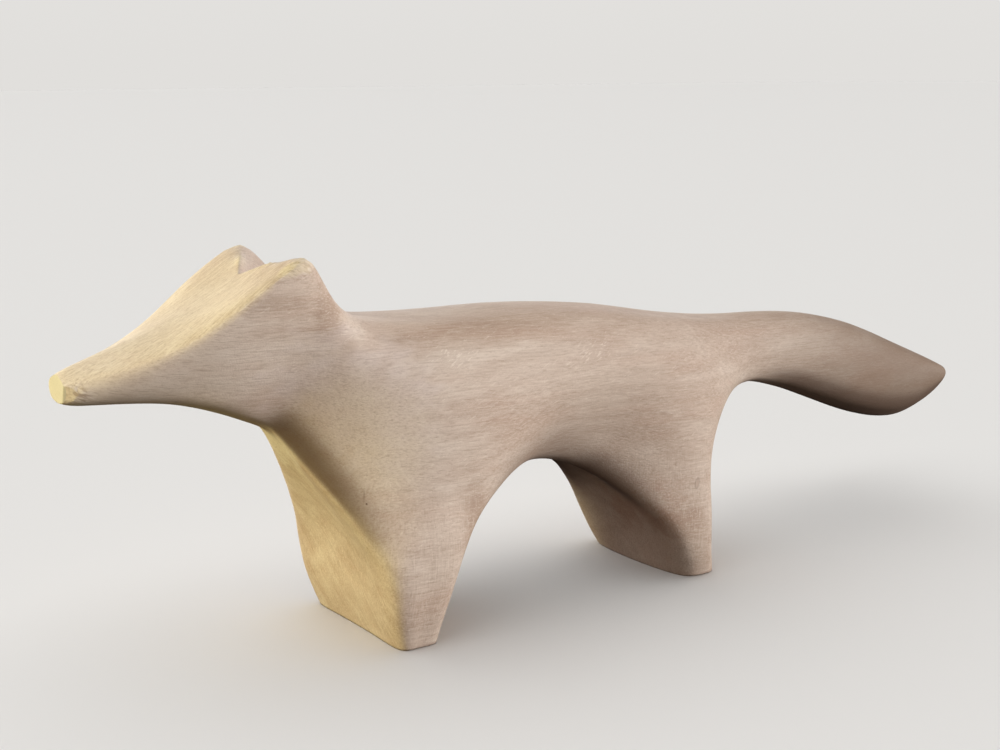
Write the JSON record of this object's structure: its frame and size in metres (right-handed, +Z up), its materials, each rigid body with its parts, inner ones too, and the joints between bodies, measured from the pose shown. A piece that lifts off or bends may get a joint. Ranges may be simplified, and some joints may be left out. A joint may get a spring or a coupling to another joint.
{
  "type": "carved wooden fox",
  "caption": "Stylised standing fox carved from one block of pale wood, with a long cut-off nose, upright ears, wide flat-footed leg blocks and a thick tail held out behind.",
  "frame": {"origin": "on the surface the fox stands on, below the middle of its length and width", "axes": "+Z up, -X toward the nose and +X toward the tail tip, -Y toward the fox's left side"},
  "size_m": [0.3786, 0.0678, 0.1243],
  "materials": {
    "sanded_wood": "bare pale grey-brown hardwood, hand-sanded and matte"
  },
  "bodies": {
    "root": {"fox": "sanded_wood"}
  },
  "joints": []
}
